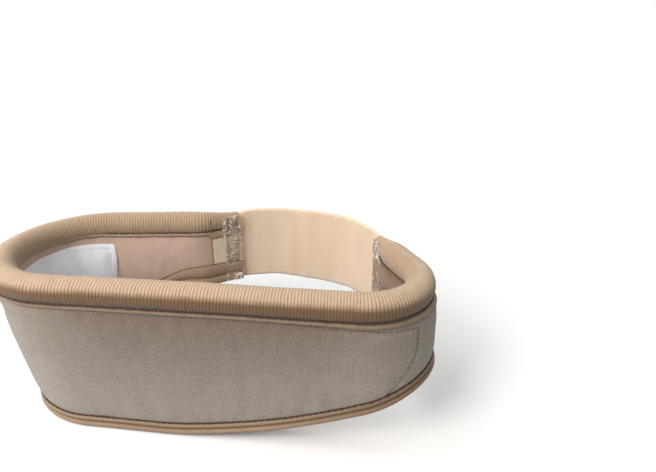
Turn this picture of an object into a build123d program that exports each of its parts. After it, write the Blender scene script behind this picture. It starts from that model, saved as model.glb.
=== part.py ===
from build123d import *
import math
import os

# A soft neck collar: one padded band that is closed into a loop by a short
# elastic strap. The band is foam between two cloths, with a piped rib binding
# along its top edge and a flat rib binding along its bottom edge. Its lower
# edge lies flat at the front and climbs to the elastic, which is narrower.
#
# Plan: +X to the wearer's right-hand end of the loop, +Y from the long padded
# front to the elastic, +Z up. Millimetres. Offsets are measured square to the
# wall's middle line, and are positive outwards.

# ---- driving dimensions: plan of the loop, on the wall's middle line ----
BAND_LENGTH = 162.0            # from the rounded left end to the right end
LEFT_FRONT_Y = -26.0           # front line where it meets the left end
LEFT_BACK_Y = 34.0             # back line where it meets the left end
LEFT_END_BACK_SHARE = 0.53     # of the left end's side, taken by its back arc
LEFT_END_STRAIGHT = 0.6        # straight that is left between its two arcs
LEAN = 10.5                    # left end's base, drawn in from its rim
RIGHT_OVERHANG = 7.5           # unrounded right corner, past half the length
RIGHT_FRONT_Y = -46.5
RIGHT_CORNER_RADIUS = 20.0
RIGHT_TACK_INSET = 14.0        # elastic's right end, inside half the length
RIGHT_TACK_Y = 13.0
ELASTIC_BACK_Y = 45.5          # where the right line, carried on, turns left
ELASTIC_RADIUS = 50.0
LEFT_TACK_X = 8.0
LEFT_TACK_Y = 43.5
LEFT_TACK_RADIUS = 20.0
TAB_ROOT_X = -13.0             # left tab's root, where it bends out of the back line
TAB_ROOT_Y = 35.4
TAB_ROOT_RADIUS = 15.0

# ---- driving dimensions: heights and thicknesses ----
COLLAR_HEIGHT = 61.0
ELASTIC_HEIGHT = 35.5
ELASTIC_DROP = 0.5             # elastic's top edge below the roll's top
ELASTIC_THICKNESS = 1.0
FOAM_THICKNESS = 4.6
COVER_THICKNESS = 1.0
LINING_THICKNESS = 1.0
PAD_THICKNESS = 2.6
ROLL_DIAMETER = 10.4
BINDING_THICKNESS = 1.0
TOP_LEG_HEIGHT = 2.5           # binding's flange below the roll
BOTTOM_BINDING_HEIGHT = 5.0
THREAD_THICKNESS = 0.3
THREAD_WIDTH = 0.5

# ---- driving dimensions: the lower edge, which climbs to both tabs ----
FRONT_CLIMB_HEADING = 35.0     # degrees from +X in which the front's edge climbs
FRONT_CLIMB_START = 1.0        # where that climb starts, along its heading
FRONT_CLIMB_LENGTH = 60.0
FRONT_CLIMB_RADIUS = 20.0
BACK_CLIMB_HEADING = 60.0      # and the same for the back of the left end
BACK_CLIMB_START = -5.5
BACK_CLIMB_LENGTH = 24.0
BACK_CLIMB_RADIUS = 8.0
CLIMB_TOP_RADIUS = 25.0        # both climbs level off with this radius

# ---- driving dimensions: the ends and the sewn pad ----
LEFT_TAB_LENGTH = 15.0         # flat, pinched ends of the padded band
RIGHT_TAB_LENGTH = 9.5
TAB_THICKNESS = 5.2
TAB_DROP = 2.0                 # tab's top edge below the roll's top
TAB_FROM_CORNER = 4.2          # left tab's free end, before the elastic's corner
ELASTIC_INSERT = 7.0           # elastic sewn inside each tab
BARTACK_LENGTH = 7.5
BARTACK_MARGIN = 0.6
PAD_LEFT_X = -53.0             # where the pad ends on the back of the band
PAD_RIGHT_HEADING = -33.0      # degrees from +X at which it ends on the right corner
PAD_TOP_GAP = 0.8              # pad's edge below the top binding
PAD_BOTTOM_GAP = 1.0           # pad's edge above the bottom binding
PAD_STITCH_INSET = 1.8

# ---- clearances ----
LAYER_GAP = 0.2                # between layers sewn to each other
THREAD_GAP = 0.1               # under a thread
FOLD_GAP = 0.3                 # between the two halves of the band
HINGE_CLEARANCE = 0.5          # fold axis outside the roll
REACH = 400.0                  # larger than the whole collar
CUT_DEPTH = 14.0               # a plan cut's reach inside the middle line

# ---- offsets worked out from the layers ----
foam_face = FOAM_THICKNESS / 2
cover_inside = foam_face + LAYER_GAP
cover_outside = cover_inside + COVER_THICKNESS
lining_outside = foam_face + LAYER_GAP
lining_inside = lining_outside + LINING_THICKNESS
wall_half = max(cover_outside, lining_inside)
binding_inside = wall_half + LAYER_GAP
binding_outside = binding_inside + BINDING_THICKNESS
pad_outside = wall_half + LAYER_GAP
pad_inside = pad_outside + PAD_THICKNESS
roll_radius = max(ROLL_DIAMETER / 2, binding_outside + BINDING_THICKNESS / 2)
roll_z = COLLAR_HEIGHT - roll_radius
cord_hole_radius = roll_radius - BINDING_THICKNESS
cord_radius = cord_hole_radius - LAYER_GAP
wall_top = roll_z - cord_hole_radius - LAYER_GAP
wall_rise = BINDING_THICKNESS + LAYER_GAP
top_leg_z = roll_z - roll_radius - TOP_LEG_HEIGHT
tab_half = TAB_THICKNESS / 2
tab_top = COLLAR_HEIGHT - TAB_DROP
elastic_half = ELASTIC_THICKNESS / 2
elastic_top = COLLAR_HEIGHT - ELASTIC_DROP
climb_height = elastic_top - ELASTIC_HEIGHT
pad_top = top_leg_z - PAD_TOP_GAP
pad_rise = BOTTOM_BINDING_HEIGHT + PAD_BOTTOM_GAP
lean_top = top_leg_z - LAYER_GAP


# ---- plan of the loop ----
def heading(degrees):
    return Vector(math.cos(math.radians(degrees)), math.sin(math.radians(degrees)))


def unit(start, end):
    return (end - start).normalized()


def left_of(direction):
    return Vector(-direction.Y, direction.X)


def crossing(point_a, along_a, point_b, along_b):
    """Point where two plan lines cross."""
    cross = along_a.X * along_b.Y - along_a.Y * along_b.X
    apart = point_b - point_a
    reach = (apart.X * along_b.Y - apart.Y * along_b.X) / cross
    return point_a + along_a * reach


half_length = BAND_LENGTH / 2
front_left = Vector(-half_length, LEFT_FRONT_Y)
front_right = Vector(half_length + RIGHT_OVERHANG, RIGHT_FRONT_Y)
right_tack = Vector(half_length - RIGHT_TACK_INSET, RIGHT_TACK_Y)
left_tack = Vector(LEFT_TACK_X, LEFT_TACK_Y)
tab_root = Vector(TAB_ROOT_X, TAB_ROOT_Y)
back_left = Vector(-half_length, LEFT_BACK_Y)
front_way = unit(front_left, front_right)
back_way = unit(back_left, tab_root)
left_end_way = unit(back_left, front_left)
right_band_way = unit(right_tack, front_right)
left_band_way = unit(left_tack, tab_root)
elastic_corner = crossing(right_tack, right_band_way, Vector(0, ELASTIC_BACK_Y), Vector(1, 0))
left_free_end = left_tack + left_band_way * TAB_FROM_CORNER
elastic_middle = (left_tack + right_tack) / 2


def arc_radius(tangent_length, way_in, way_out):
    """Radius of the arc that takes this much of each line beside its corner."""
    turn = math.radians(way_in.get_angle(way_out))
    return tangent_length / math.tan(turn / 2)


def arc_centre(before, corner, after, radius):
    """Centre of the arc that rounds a corner."""
    way_in = unit(before, corner)
    way_out = unit(corner, after)
    turn = math.radians(way_in.get_angle(way_out))
    return corner + (way_out - way_in).normalized() * (radius / math.cos(turn / 2))


left_side = (back_left - front_left).length - LEFT_END_STRAIGHT
back_share = left_side * LEFT_END_BACK_SHARE
back_arc = arc_radius(back_share, -back_way, left_end_way)
front_arc = arc_radius(left_side - back_share, left_end_way, front_way)


def plan_wire(offset_out, drawn_in=0):
    """The middle line moved out by offset_out, with its left end drawn in."""
    corners = [
        (front_left + front_way * drawn_in, front_arc),
        (front_right, RIGHT_CORNER_RADIUS),
        (elastic_corner, ELASTIC_RADIUS),
        (left_tack, LEFT_TACK_RADIUS),
        (tab_root, TAB_ROOT_RADIUS),
        (back_left + back_way * drawn_in, back_arc),
    ]
    count = len(corners)
    points = []
    for index in range(count):
        corner = corners[index][0]
        way_in = unit(corners[index - 1][0], corner)
        way_out = unit(corner, corners[(index + 1) % count][0])
        line_in = corner - left_of(way_in) * offset_out
        line_out = corner - left_of(way_out) * offset_out
        points.append(crossing(line_in, way_in, line_out, way_out))
    arcs = []
    for index, corner in enumerate(points):
        way_in = unit(points[index - 1], corner)
        way_out = unit(corner, points[(index + 1) % count])
        hand = math.copysign(1, left_of(way_in).dot(way_out))
        radius = corners[index][1] + hand * offset_out
        half_turn = math.radians(way_in.get_angle(way_out)) / 2
        reach = radius * math.tan(half_turn)
        bulge = radius / math.cos(half_turn) - radius
        middle = corner + (way_out - way_in).normalized() * bulge
        arcs.append((corner - way_in * reach, middle, corner + way_out * reach))
    edges = []
    for index, (start, middle, end) in enumerate(arcs):
        edges.append(Edge.make_line(arcs[index - 1][2], start))
        edges.append(Edge.make_three_point_arc(start, middle, end))
    return Wire(edges)


def plug(offset_out, low, high):
    """Solid inside the loop moved out by offset_out. Its left end leans."""

    def level(height):
        drawn_in = LEAN * (1 - height / lean_top) if height < lean_top else 0
        return Pos(0, 0, height) * make_face(plan_wire(offset_out, drawn_in).edges())

    knee = min(max(low, lean_top), high)
    solid = extrude(level(knee), amount=high - knee) if high > knee else None
    if low < knee:
        leaning = loft([level(low), level(knee)], ruled=True)
        solid = leaning if solid is None else solid + leaning
    return solid


def ring(offset_a, offset_b, low, high):
    """Upright ring of the loop between two offsets and two heights."""
    return plug(max(offset_a, offset_b), low, high) - plug(min(offset_a, offset_b), low, high)


# ---- the climbing lower edge ----
def over_climb(rise, degrees, start, length, radius):
    """Space over a level edge that climbs once, along a heading."""
    way = heading(degrees)
    side = Plane(origin=(0, 0, 0), x_dir=way, z_dir=-left_of(way))
    top = rise + climb_height
    points = ((-REACH, rise), (start, rise), (start + length, top), (REACH, top))
    path = FilletPolyline(*points, radius=[radius, CLIMB_TOP_RADIUS])
    lid = Polyline((REACH, top), (REACH, REACH), (-REACH, REACH), (-REACH, rise))
    profile = make_face(path.edges() + lid.edges())
    return extrude(side * profile, amount=REACH, both=True)


def above_edge(rise):
    """All the space higher than the lower edge raised by rise."""
    front = over_climb(
        rise, FRONT_CLIMB_HEADING, FRONT_CLIMB_START, FRONT_CLIMB_LENGTH, FRONT_CLIMB_RADIUS
    )
    back = over_climb(
        rise, BACK_CLIMB_HEADING, BACK_CLIMB_START, BACK_CLIMB_LENGTH, BACK_CLIMB_RADIUS
    )
    return front & back


# ---- plan cuts ----
def plan_prism(*corners):
    """Tall prism over a plan polygon."""
    outline = Polyline(*corners, close=True)
    return extrude(make_face(outline.edges()), amount=REACH, both=True)


def elastic_side(left_depth, right_depth):
    """Prism over the elastic, which reaches into each tab by its own depth."""
    left_cut = left_free_end + left_band_way * left_depth
    right_cut = right_tack + right_band_way * right_depth
    left_out = left_of(left_band_way) * -1
    right_out = left_of(right_band_way)
    outward = left_of(unit(left_tack, right_tack))
    return plan_prism(
        left_cut + left_out * REACH / 8,
        left_cut - left_out * CUT_DEPTH,
        right_cut - right_out * CUT_DEPTH,
        right_cut + right_out * REACH / 8,
        elastic_middle + outward * REACH / 3,
    )


past_the_band = elastic_side(LEFT_TAB_LENGTH, RIGHT_TAB_LENGTH)


def band(whole):
    """The padded stretch of a ring, which ends where the tabs begin."""
    return whole - past_the_band


# ---- whole pieces, before the band is divided at its fold ----
def wall_layer(offset_a, offset_b):
    return band(ring(offset_a, offset_b, 0, wall_top) & above_edge(wall_rise))


def roll_sweep(section_of_plane):
    """Sweep a section along the top of the padded band."""
    path = plan_wire(0).moved(Location((0, 0, roll_z)))
    seat = path.position_at(0)
    way = path.tangent_at(0)
    plane = Plane(origin=seat, x_dir=left_of(way), z_dir=way)
    return band(sweep(plane * section_of_plane, path=path))


def top_binding():
    outer = Circle(roll_radius)
    leg_depth = roll_z - top_leg_z
    legs = Pos(0, -leg_depth / 2) * Rectangle(2 * binding_outside, leg_depth)
    hole_edge = math.sqrt(cord_hole_radius**2 - binding_inside**2)
    slot_depth = 2 * leg_depth
    slot = Rectangle(2 * binding_inside, slot_depth)
    slot = Pos(0, LAYER_GAP - hole_edge - slot_depth / 2) * slot
    return roll_sweep(outer + legs - slot - Circle(cord_hole_radius))


def piping_cord():
    return roll_sweep(Circle(cord_radius))


def bottom_binding():
    channel = ring(binding_outside, -binding_outside, 0, wall_top) & above_edge(0)
    channel -= above_edge(BOTTOM_BINDING_HEIGHT)
    slot = ring(binding_inside, -binding_inside, -1, wall_top) & above_edge(BINDING_THICKNESS)
    return band(channel - slot)


def seam_threads(face, low, high, zone):
    """A line of thread on the outer and on the inner face of a binding."""
    near = face + THREAD_GAP
    far = near + THREAD_THICKNESS
    both = ring(far, near, low, high) + ring(-near, -far, low, high)
    return zone(both)


def top_seam_thread():
    seam_z = top_leg_z + TOP_LEG_HEIGHT / 2
    return seam_threads(binding_outside, seam_z, seam_z + THREAD_WIDTH, band)


def bottom_seam_thread():
    rise = BOTTOM_BINDING_HEIGHT - 3 * THREAD_WIDTH
    strip = above_edge(rise) - above_edge(rise + THREAD_WIDTH)
    return seam_threads(binding_outside, 0, wall_top, lambda rings: band(rings & strip))


def pad_region(inset):
    """Space that the sewn pad fills, drawn in by inset along its four edges."""
    back_x = PAD_LEFT_X - inset
    end_way = heading(PAD_RIGHT_HEADING)
    turn_centre = arc_centre(front_left, front_right, right_tack, RIGHT_CORNER_RADIUS)
    right_end = turn_centre - left_of(end_way) * inset
    kept_out = plan_prism(
        (back_x, REACH / 3),
        (back_x, 0),
        right_end,
        right_end + end_way * REACH / 3,
        (REACH / 2, REACH / 3),
    )
    height = pad_top - inset
    under_top = Pos(0, 0, height / 2) * Box(REACH, REACH, height)
    return (above_edge(pad_rise + inset) & under_top) - kept_out


def inner_pad():
    return ring(-pad_outside, -pad_inside, 0, pad_top) & pad_region(0)


def pad_stitching():
    """The pad's sewn outline, on the pad and on the outer cover."""
    outline = pad_region(PAD_STITCH_INSET) - pad_region(PAD_STITCH_INSET + THREAD_WIDTH)
    on_pad = ring(-pad_inside - THREAD_GAP, -pad_inside - THREAD_GAP - THREAD_THICKNESS, 0, pad_top)
    cover_near = cover_outside + THREAD_GAP
    on_cover = ring(cover_near + THREAD_THICKNESS, cover_near, 0, pad_top)
    return (on_pad & outline) + (on_cover & outline)


def end_tabs():
    """Both flat ends, each slit for the elastic that is sewn inside it."""
    outside = ring(tab_half, -tab_half, 0, tab_top) & above_edge(0)
    tabs = outside & elastic_side(LEFT_TAB_LENGTH - LAYER_GAP, RIGHT_TAB_LENGTH - LAYER_GAP)
    slot_half = elastic_half + LAYER_GAP
    slot_depth = ELASTIC_INSERT + LAYER_GAP
    slot = ring(slot_half, -slot_half, -1, COLLAR_HEIGHT) & elastic_side(slot_depth, slot_depth)
    return tabs - elastic_side(0, 0) - slot


def tab_threads(near, far, margin):
    """Thread on both faces of both tabs, from near to far behind their free ends."""
    face = tab_half + THREAD_GAP
    out = face + THREAD_THICKNESS
    top = tab_top - margin
    both = ring(out, face, 0, top) + ring(-face, -out, 0, top)
    return (both & above_edge(margin) & elastic_side(far, far)) - elastic_side(near, near)


def bartacks():
    return tab_threads(BARTACK_MARGIN, BARTACK_MARGIN + BARTACK_LENGTH, BARTACK_MARGIN)


def tab_stitching():
    near = LEFT_TAB_LENGTH - 3 * THREAD_WIDTH
    return tab_threads(near, near + THREAD_WIDTH, 2 * BARTACK_MARGIN)


def elastic_strap():
    strip = ring(elastic_half, -elastic_half, climb_height, elastic_top)
    return strip & elastic_side(ELASTIC_INSERT, ELASTIC_INSERT)


# ---- the fold, square to the front wall and opposite the elastic's middle ----
fold_way = left_of(front_way)
outside_roll = front_left - fold_way * (roll_radius + HINGE_CLEARANCE)
hinge = crossing(elastic_middle, fold_way, outside_roll, front_way)
fold_plane = Plane(origin=(hinge.X, hinge.Y, 0), x_dir=front_way, z_dir=(0, 0, 1))


def half_space(side):
    """Space on one side of the fold, held back by half the gap."""
    return fold_plane * (Pos(side * (REACH / 2 + FOLD_GAP / 2), 0, 0) * Box(REACH, REACH, REACH))


WHOLE_PIECES = {
    "foam_core": lambda: wall_layer(foam_face, -foam_face),
    "outer_cover": lambda: wall_layer(cover_outside, cover_inside),
    "inner_lining": lambda: wall_layer(-lining_outside, -lining_inside),
    "top_binding": top_binding,
    "piping_cord": piping_cord,
    "top_seam_thread": top_seam_thread,
    "bottom_binding": bottom_binding,
    "bottom_seam_thread": bottom_seam_thread,
    "inner_pad": inner_pad,
    "pad_stitching": pad_stitching,
    "end_tab": end_tabs,
    "bartack": bartacks,
}

nodes = {"elastic_strap": elastic_strap(), "left_tab_stitching": tab_stitching() & half_space(-1)}
for name, make in WHOLE_PIECES.items():
    whole = make()
    for word, side in (("left", -1), ("right", 1)):
        nodes[f"{word}_{name}"] = whole & half_space(side)

# The origin is the middle of the collar's base.
everything = Compound([solid for node in nodes.values() for solid in node.solids()])
box = everything.bounding_box()
to_origin = Pos(-box.center().X, -box.center().Y, -box.min.Z)

os.makedirs("parts", exist_ok=True)
for name, node in nodes.items():
    export_step(to_origin * Compound(node.solids()), f"parts/{name}.step")

hinge_place = to_origin * Pos(hinge.X, hinge.Y, 0)
print("hinge x, y:", round(hinge_place.position.X, 3), round(hinge_place.position.Y, 3))
print("size:", [round(value, 2) for value in box.size])
print("origin moved by:", [round(-value, 3) for value in (box.center().X, box.center().Y, box.min.Z)])
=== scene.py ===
"""Soft cervical collar: a padded band with a ribbed top roll, closed by an elastic strap."""
import math
import random
from functools import lru_cache

import bpy
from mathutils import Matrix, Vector, noise


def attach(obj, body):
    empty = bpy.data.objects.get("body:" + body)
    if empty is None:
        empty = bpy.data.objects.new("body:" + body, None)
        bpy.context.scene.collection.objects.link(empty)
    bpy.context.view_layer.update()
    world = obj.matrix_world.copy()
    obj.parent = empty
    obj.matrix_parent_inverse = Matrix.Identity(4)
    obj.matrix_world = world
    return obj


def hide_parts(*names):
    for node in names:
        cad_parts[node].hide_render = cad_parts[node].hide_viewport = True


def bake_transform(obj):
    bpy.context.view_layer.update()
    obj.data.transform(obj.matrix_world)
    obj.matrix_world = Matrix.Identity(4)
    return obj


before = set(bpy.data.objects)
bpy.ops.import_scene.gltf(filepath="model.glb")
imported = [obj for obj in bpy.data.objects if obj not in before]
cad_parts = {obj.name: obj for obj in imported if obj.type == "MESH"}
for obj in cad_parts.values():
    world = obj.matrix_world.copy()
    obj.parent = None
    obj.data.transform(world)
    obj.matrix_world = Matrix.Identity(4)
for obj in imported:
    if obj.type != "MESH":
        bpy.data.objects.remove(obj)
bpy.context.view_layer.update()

MM = 0.001
ORIGIN = Vector((1.175, 1.686))        # moves plan coordinates into the frame, mm

# ---- plan of the loop, on the wall's middle line, mm ----
FRONT_LEFT = Vector((-81.0, -26.0))
FRONT_RIGHT = Vector((88.5, -46.5))
RIGHT_TACK = Vector((67.0, 13.0))
LEFT_TACK = Vector((8.0, 43.5))
TAB_ROOT = Vector((-13.0, 35.4))
BACK_LEFT = Vector((-81.0, 34.0))
ELASTIC_BACK_Y = 45.5                  # where the right line, carried on, turns left
TAB_FROM_CORNER = 4.2                  # left tab's free end, before the elastic's corner
LEFT_END_STRAIGHT = 0.6                # left between the left end's two arcs
BACK_ARC_SHARE = 0.53
FRONT_ARC_SHARE = 0.47
TAB_ROOT_RADIUS = 15.0
RIGHT_CORNER_RADIUS = 20.0
ELASTIC_RADIUS = 50.0
LEFT_TACK_RADIUS = 20.0
LEAN = 10.5                            # left end's base, drawn in from its rim
LEAN_TOP = 47.9

# ---- heights and half thicknesses, mm ----
ROLL_Z = 55.8                          # the roll's middle
ROLL_RADIUS = 5.2
FLANGE_HIGH = 53.0
FLANGE_LOW = 50.4
FLANGE_CHANGES = 34                    # before the right tab: inside, it widens and is darkened with painted shade from here
WALL_HALF = 3.5
TAB_HALF = 1.55
LEFT_FILLS_OUT = (4, 17)               # from a tab's free end to where the band begins to fill out,
RIGHT_FILLS_OUT = (2.5, 14)            # and the length over which it does
BINDING_HEIGHT = 5.0
INNER_BINDING_HEIGHT = 8.6
LEFT_TAB = 15.0                        # length of the flat ends
RIGHT_TAB = 9.5
PAD_TOP = 47.3
ELASTIC_LOW = 25.0
ELASTIC_HIGH = 60.5

# ---- the lower edge's climb, and how far the wall strays from its plan, mm ----
FRONT_CLIMB_START = -20.0              # along the front
FRONT_CLIMB_LENGTH = 103.0
CLIMB_HEAD = 3.0                       # how softly a climb levels off at the elastic's height
BLENDS_LIFT = 0.4                      # what blending the climbs adds to a level edge
WAVER_OUT = 0.45
WAVER_UP = 0.3
FLARE = 2.1                            # at the right end the wall stands out under the roll
FLARE_ABOVE = 0.4                      # the same, of all that is above it
FLARE_TOP = 53.2
FLARE_DEPTH = 4
FLARE_REACH = 17


# ---- camera, metres ----
scene = bpy.context.scene
camera_data = bpy.data.cameras.new("camera")
camera = bpy.data.objects.new("camera", camera_data)
scene.collection.objects.link(camera)
camera.location = (0.0470, -0.1883, 0.1404)
camera.rotation_euler = (math.radians(68), 0, 0)
camera_data.lens = 28.54
camera_data.sensor_width = 36
camera_data.clip_start = 0.005
scene.camera = camera
scene.view_settings.view_transform = "Standard"


# ---- the loop ----
def unit(start, end):
    return (end - start).normalized()


def left_of(way):
    return Vector((-way.y, way.x))


def cross(a, b):
    return a.x * b.y - a.y * b.x


def crossing(point_a, way_a, point_b, way_b):
    return point_a + way_a * (cross(point_b - point_a, way_b) / cross(way_a, way_b))


front_way = unit(FRONT_LEFT, FRONT_RIGHT)
back_way = unit(BACK_LEFT, TAB_ROOT)
right_way = unit(FRONT_RIGHT, RIGHT_TACK)
left_tab_way = unit(LEFT_TACK, TAB_ROOT)
elastic_corner = crossing(RIGHT_TACK, right_way, Vector((0, ELASTIC_BACK_Y)), Vector((1, 0)))
left_free_end = LEFT_TACK + left_tab_way * TAB_FROM_CORNER


def corner_radius(tangent, way_in, way_out):
    return tangent / math.tan(way_in.angle(way_out) / 2)


left_side = (BACK_LEFT - FRONT_LEFT).length - LEFT_END_STRAIGHT
left_end_way = unit(BACK_LEFT, FRONT_LEFT)
back_arc = corner_radius(left_side * BACK_ARC_SHARE, -back_way, left_end_way)
front_arc = corner_radius(left_side * FRONT_ARC_SHARE, left_end_way, front_way)


@lru_cache(maxsize=None)
def loop_pieces(drawn_in):
    """Lines and arcs round the loop from the left tab's free end, with its left end drawn in."""
    corners = [
        (TAB_ROOT, TAB_ROOT_RADIUS),
        (BACK_LEFT + back_way * drawn_in, back_arc),
        (FRONT_LEFT + front_way * drawn_in, front_arc),
        (FRONT_RIGHT, RIGHT_CORNER_RADIUS),
        (elastic_corner, ELASTIC_RADIUS),
        (LEFT_TACK, LEFT_TACK_RADIUS),
    ]
    pieces = []
    here = left_free_end
    for index, (corner, radius) in enumerate(corners):
        way_in = unit(corners[index - 1][0], corner)
        way_out = unit(corner, corners[(index + 1) % len(corners)][0])
        turn = math.atan2(cross(way_in, way_out), way_in.dot(way_out))
        tangent = radius * math.tan(abs(turn) / 2)
        start = corner - way_in * tangent
        centre = start + left_of(way_in) * math.copysign(radius, turn)
        pieces.append(("line", here, start, (start - here).length))
        pieces.append(("arc", centre, start, turn, radius * abs(turn)))
        here = corner + way_out * tangent
    pieces.append(("line", here, left_free_end, (left_free_end - here).length))
    return pieces


LENGTHS = [piece[-1] for piece in loop_pieces(0)]
LOOP_LENGTH = sum(LENGTHS)


def plan_at(s, drawn_in):
    """Middle line's point and outward normal, s mm along the rim."""
    s = s % LOOP_LENGTH
    index = 0
    while index < len(LENGTHS) - 1 and s > LENGTHS[index]:
        s -= LENGTHS[index]
        index += 1
    share = s / LENGTHS[index]
    piece = loop_pieces(round(drawn_in, 2))[index]
    if piece[0] == "line":
        start, end = piece[1], piece[2]
        return start.lerp(end, share), -left_of(unit(start, end))
    centre, start, turn = piece[1:4]
    arm = start - centre
    angle = turn * share
    turned = Vector((
        arm.x * math.cos(angle) - arm.y * math.sin(angle),
        arm.x * math.sin(angle) + arm.y * math.cos(angle),
    ))
    return centre + turned, turned.normalized() * math.copysign(1, turn)


def drawn_at(z):
    """How far the leaning left end is drawn in at a height."""
    return LEAN * (1 - max(z, 0) / LEAN_TOP) if z < LEAN_TOP else 0.0


def smooth_max(a, b, blend):
    """The larger of two heights, rounded where they come within blend of each other."""
    return max(a, b) + max(blend - abs(a - b), 0) ** 2 / (4 * blend)


def climb(point, degrees, start, length, foot):
    """Edge that climbs to the elastic's lower edge over length, along one way in plan."""
    way = Vector((math.cos(math.radians(degrees)), math.sin(math.radians(degrees))))
    rise = (point.dot(way) - start) * ELASTIC_LOW / length
    rise = smooth_max(0, rise, foot)
    return -smooth_max(-ELASTIC_LOW, -rise, CLIMB_HEAD)


def edge_height(point):
    """Lower edge's height over the floor: a long curve up along the front, a short one at the back."""
    along = max(point.dot(front_way) - FRONT_CLIMB_START, 0) / FRONT_CLIMB_LENGTH
    front = -smooth_max(-ELASTIC_LOW, -ELASTIC_LOW * along**2, CLIMB_HEAD)
    right_end = climb(point, degrees=35, start=-4.5, length=63, foot=1.6)
    back = climb(point, degrees=60, start=-5.5, length=24, foot=3.0)
    return smooth_max(smooth_max(front, right_end, 1.0), back, 0.6) - BLENDS_LIFT


@lru_cache(maxsize=None)
def low_at(s):
    """Lower edge's height s mm along the rim. The plan depends on height, so it settles in rounds."""
    z = 0.0
    for _ in range(3):
        z = edge_height(plan_at(s, drawn_at(z))[0])
    return max(z, 0.0)


def soft(x, y, z, seed=0.0):
    """Smooth noise from -1 to 1. Lengths are given as shares of the size of its lumps."""
    return noise.noise(Vector((x, y, z + seed * 17.3)))


def place(s, z, offset, flare=FLARE):
    """A point by way along the rim, height and distance out from the middle line, in metres."""
    point, out = plan_at(s, drawn_at(z))
    offset += WAVER_OUT * soft(s / 34, z / 40, 3.1)
    near_right = math.exp(-((s - RIGHTMOST) / FLARE_REACH) ** 2)
    offset += near_right * (FLARE_ABOVE + flare * ease((FLARE_TOP - z) / FLARE_DEPTH))
    z_here = z + WAVER_UP * soft(s / 41, 7.7, 0.4) * min(z / 20, 1)
    point = point + out * offset + ORIGIN
    return Vector((point.x, point.y, z_here)) * MM


def s_of(target):
    """Distance along the rim of the middle line's point nearest to a plan point."""
    per_mm = 4
    steps = range(int(LOOP_LENGTH * per_mm))
    return min(steps, key=lambda step: (plan_at(step / per_mm, 0)[0] - target).length) / per_mm


RIGHT_END = s_of(RIGHT_TACK)           # right tab's free end
RIGHTMOST = max(range(int(LOOP_LENGTH)), key=lambda s: plan_at(s, 0)[0].x)
BAND_END = RIGHT_END - RIGHT_TAB


# ---- how cloth and thread are made ----
def spread(start, end, step):
    """Even values from start to end, no further apart than step."""
    return even(start, end, max(1, math.ceil(abs(end - start) / step)))


def even(start, end, count):
    """count equal steps from start to end."""
    return [start + (end - start) * i / count for i in range(count + 1)]


def only(piece):
    """Selects one piece and makes it the active one."""
    bpy.ops.object.select_all(action="DESELECT")
    piece.select_set(True)
    bpy.context.view_layer.objects.active = piece


def laid(name, rows, closed=False):
    """Cloth cut as a flat grid, then laid on the collar.

    rows holds one row for each station along the rim. Each spot in a row is its point in metres, its
    place on the flat cloth in mm and its shade. A closed row is a section whose last spot meets its first.
    """
    if closed:
        rows = [row + [row[0]] for row in rows]
    along, across = len(rows) - 1, len(rows[0]) - 1
    bpy.ops.object.select_all(action="DESELECT")
    bpy.ops.mesh.primitive_grid_add(x_subdivisions=along, y_subdivisions=across, size=1)
    piece = bpy.context.object
    piece.name = name
    mesh = piece.data
    mesh.uv_layers.active.name = "cloth"
    flat = mesh.uv_layers.active.data
    shade = mesh.attributes.new("shade", "FLOAT", "POINT")
    spots = []
    for vertex in mesh.vertices:
        station = round((vertex.co.x + 0.5) * along)
        spot = rows[station][round((vertex.co.y + 0.5) * across)]
        vertex.co = spot[0]
        shade.data[vertex.index].value = spot[2]
        spots.append(spot)
    for loop in mesh.loops:
        flat[loop.index].uv = spots[loop.vertex_index][1]
    if closed:
        bpy.ops.object.mode_set(mode="EDIT")
        bpy.ops.mesh.select_all(action="SELECT")
        bpy.ops.mesh.remove_doubles(threshold=0.000001)
        bpy.ops.mesh.select_all(action="DESELECT")
        bpy.ops.mesh.select_non_manifold()
        bpy.ops.mesh.fill_holes(sides=0)
        bpy.ops.mesh.select_all(action="SELECT")
        bpy.ops.mesh.normals_make_consistent(inside=False)
        bpy.ops.object.mode_set(mode="OBJECT")
    piece.data.shade_smooth()
    return piece


def joined(name, pieces):
    only(pieces[0])
    for piece in pieces[1:]:
        piece.select_set(True)
    bpy.ops.object.join()
    pieces[0].name = name
    return pieces[0]


def apply_modifier(piece, kind, **settings):
    only(piece)
    modifier = piece.modifiers.new(kind.lower(), kind)
    for key, value in settings.items():
        setattr(modifier, key, value)
    bpy.ops.object.modifier_apply(modifier=modifier.name)


FILL_FRAMES = 20


def swell(piece, sewn, pressure, spare, most):
    """Fills cloth that is sewn down at some vertices. spare is its slack, most its furthest move in mm."""
    only(piece)
    start = [vertex.co.copy() for vertex in piece.data.vertices]
    seam = piece.vertex_groups.new(name="sewn")
    seam.add(sewn, 1.0, "REPLACE")
    fill = piece.modifiers.new("fill", "CLOTH")
    cloth = fill.settings
    cloth.mass = 0.001
    cloth.bending_stiffness = 0.05
    cloth.shrink_min = -spare
    cloth.vertex_group_mass = seam.name
    cloth.use_pressure = True
    cloth.uniform_pressure_force = pressure
    cloth.effector_weights.gravity = 0
    fill.collision_settings.use_collision = False
    for moment in range(1, FILL_FRAMES + 1):
        scene.frame_set(moment)
    bpy.ops.object.modifier_apply(modifier=fill.name)
    scene.frame_set(1)
    piece.vertex_groups.clear()
    for vertex, rest in zip(piece.data.vertices, start):
        way = vertex.co - rest
        if way.length > 0:
            share = math.tanh(way.length / (most * MM)) * most * MM / way.length
            vertex.co = rest + way * share


def flat_spots(mesh):
    """Each vertex's place on the flat cloth: way along the rim and height, in mm."""
    spots = [None] * len(mesh.vertices)
    flat = mesh.uv_layers.active.data
    for loop in mesh.loops:
        spots[loop.vertex_index] = flat[loop.index].uv.copy()
    return spots


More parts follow.
